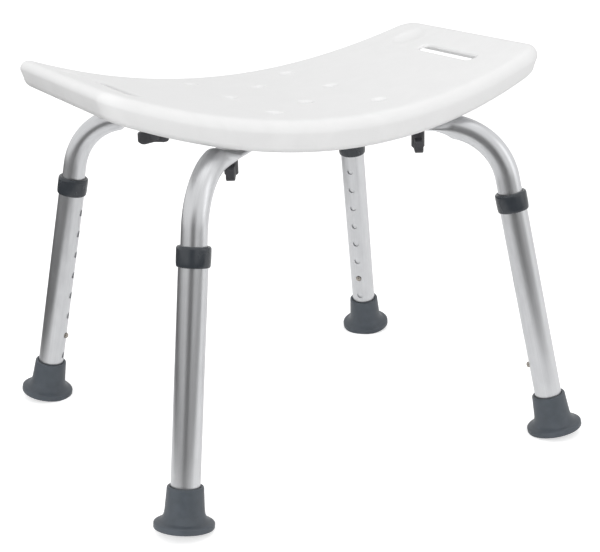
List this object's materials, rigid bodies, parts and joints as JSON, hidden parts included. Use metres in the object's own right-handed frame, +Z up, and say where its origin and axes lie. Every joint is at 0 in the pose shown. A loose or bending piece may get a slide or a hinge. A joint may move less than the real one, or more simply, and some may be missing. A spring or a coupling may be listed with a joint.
{
  "type": "shower stool",
  "caption": "Backless shower stool with a saddle-shaped white seat, hand slots and drain holes, on splayed height-adjustable aluminium legs with rubber feet.",
  "frame": {"origin": "On the floor under the middle of the stool.", "axes": "+X along the seat's long way, +Y to the rear, +Z up."},
  "size_m": [0.5008, 0.4568, 0.4109],
  "materials": {
    "seat_plastic": "satin white HDPE with a soft sheen",
    "upper_tube_aluminium": "satin anodised",
    "lower_tube_aluminium": "satin anodised",
    "collar_plastic": "dark slate grey, fine satin",
    "foot_rubber": "slate grey matt rubber",
    "steel": "plain zinc-plated",
    "button_steel": "polished stainless",
    "knob_plastic": "dark charcoal, fine texture",
    "brass": "knurled insert"
  },
  "bodies": {
    "seat_frame": {"seat": "seat_plastic", "upper_tube_front_right": "upper_tube_aluminium", "snap_clip_front_right": "steel", "seat_insert_front_right": "brass", "upper_tube_rear_right": "upper_tube_aluminium", "snap_clip_rear_right": "steel", "seat_insert_rear_right": "brass", "upper_tube_rear_left": "upper_tube_aluminium", "snap_clip_rear_left": "steel", "seat_insert_rear_left": "brass", "upper_tube_front_left": "upper_tube_aluminium", "snap_clip_front_left": "steel", "seat_insert_front_left": "brass"},
    "leg_front_right": {"lower_tube_front_right": "lower_tube_aluminium", "collar_front_right": "collar_plastic", "foot_front_right": "foot_rubber", "foot_washer_front_right": "steel"},
    "button_front_right": {"snap_button_front_right": "button_steel"},
    "stud_front_right": {"knob_stud_front_right": "steel"},
    "knob_front_right": {"knob_front_right": "knob_plastic"},
    "leg_rear_right": {"lower_tube_rear_right": "lower_tube_aluminium", "collar_rear_right": "collar_plastic", "foot_rear_right": "foot_rubber", "foot_washer_rear_right": "steel"},
    "button_rear_right": {"snap_button_rear_right": "button_steel"},
    "stud_rear_right": {"knob_stud_rear_right": "steel"},
    "knob_rear_right": {"knob_rear_right": "knob_plastic"},
    "leg_rear_left": {"lower_tube_rear_left": "lower_tube_aluminium", "collar_rear_left": "collar_plastic", "foot_rear_left": "foot_rubber", "foot_washer_rear_left": "steel"},
    "button_rear_left": {"snap_button_rear_left": "button_steel"},
    "stud_rear_left": {"knob_stud_rear_left": "steel"},
    "knob_rear_left": {"knob_rear_left": "knob_plastic"},
    "leg_front_left": {"lower_tube_front_left": "lower_tube_aluminium", "collar_front_left": "collar_plastic", "foot_front_left": "foot_rubber", "foot_washer_front_left": "steel"},
    "button_front_left": {"snap_button_front_left": "button_steel"},
    "stud_front_left": {"knob_stud_front_left": "steel"},
    "knob_front_left": {"knob_front_left": "knob_plastic"}
  },
  "joints": [
    {"name": "leg_height_front_right", "type": "slide", "parent": "seat_frame", "child": "leg_front_right", "axis": [0.1494, -0.1345, -0.9796], "range_m": [0, 0.1524]},
    {"name": "button_press_front_right", "type": "slide", "parent": "seat_frame", "child": "button_front_right", "axis": [0.728, -0.6555, 0.2011], "range_m": [0, 0.0046], "stiffness_N_per_m": 1500, "springref_m": -0.004},
    {"name": "stud_travel_front_right", "type": "slide", "parent": "seat_frame", "child": "stud_front_right", "axis": [0, 0, -1], "range_m": [0, 0.012]},
    {"name": "knob_turn_front_right", "type": "hinge", "parent": "stud_front_right", "child": "knob_front_right", "pos_m": [0.10887, -0.09803, 0.322], "axis": [0, 0, -1], "range_deg": [0, 4324]},
    {"name": "leg_height_rear_right", "type": "slide", "parent": "seat_frame", "child": "leg_rear_right", "axis": [0.1494, 0.1345, -0.9796], "range_m": [0, 0.1524]},
    {"name": "button_press_rear_right", "type": "slide", "parent": "seat_frame", "child": "button_rear_right", "axis": [0.728, 0.6555, 0.2011], "range_m": [0, 0.0046], "stiffness_N_per_m": 1500, "springref_m": -0.004},
    {"name": "stud_travel_rear_right", "type": "slide", "parent": "seat_frame", "child": "stud_rear_right", "axis": [0, 0, -1], "range_m": [0, 0.012]},
    {"name": "knob_turn_rear_right", "type": "hinge", "parent": "stud_rear_right", "child": "knob_rear_right", "pos_m": [0.10887, 0.09803, 0.322], "axis": [0, 0, -1], "range_deg": [0, 4324]},
    {"name": "leg_height_rear_left", "type": "slide", "parent": "seat_frame", "child": "leg_rear_left", "axis": [-0.1494, 0.1345, -0.9796], "range_m": [0, 0.1524]},
    {"name": "button_press_rear_left", "type": "slide", "parent": "seat_frame", "child": "button_rear_left", "axis": [-0.728, 0.6555, 0.2011], "range_m": [0, 0.0046], "stiffness_N_per_m": 1500, "springref_m": -0.004},
    {"name": "stud_travel_rear_left", "type": "slide", "parent": "seat_frame", "child": "stud_rear_left", "axis": [0, 0, -1], "range_m": [0, 0.012]},
    {"name": "knob_turn_rear_left", "type": "hinge", "parent": "stud_rear_left", "child": "knob_rear_left", "pos_m": [-0.10887, 0.09803, 0.322], "axis": [0, 0, -1], "range_deg": [0, 4324]},
    {"name": "leg_height_front_left", "type": "slide", "parent": "seat_frame", "child": "leg_front_left", "axis": [-0.1494, -0.1345, -0.9796], "range_m": [0, 0.1524]},
    {"name": "button_press_front_left", "type": "slide", "parent": "seat_frame", "child": "button_front_left", "axis": [-0.728, -0.6555, 0.2011], "range_m": [0, 0.0046], "stiffness_N_per_m": 1500, "springref_m": -0.004},
    {"name": "stud_travel_front_left", "type": "slide", "parent": "seat_frame", "child": "stud_front_left", "axis": [0, 0, -1], "range_m": [0, 0.012]},
    {"name": "knob_turn_front_left", "type": "hinge", "parent": "stud_front_left", "child": "knob_front_left", "pos_m": [-0.10887, -0.09803, 0.322], "axis": [0, 0, -1], "range_deg": [0, 4324]}
  ],
  "couplings": [
    {"joint": "knob_turn_front_right", "follows": "stud_travel_front_right", "rad_per_m": 6283.2},
    {"joint": "knob_turn_rear_right", "follows": "stud_travel_rear_right", "rad_per_m": 6283.2},
    {"joint": "knob_turn_rear_left", "follows": "stud_travel_rear_left", "rad_per_m": 6283.2},
    {"joint": "knob_turn_front_left", "follows": "stud_travel_front_left", "rad_per_m": 6283.2}
  ]
}
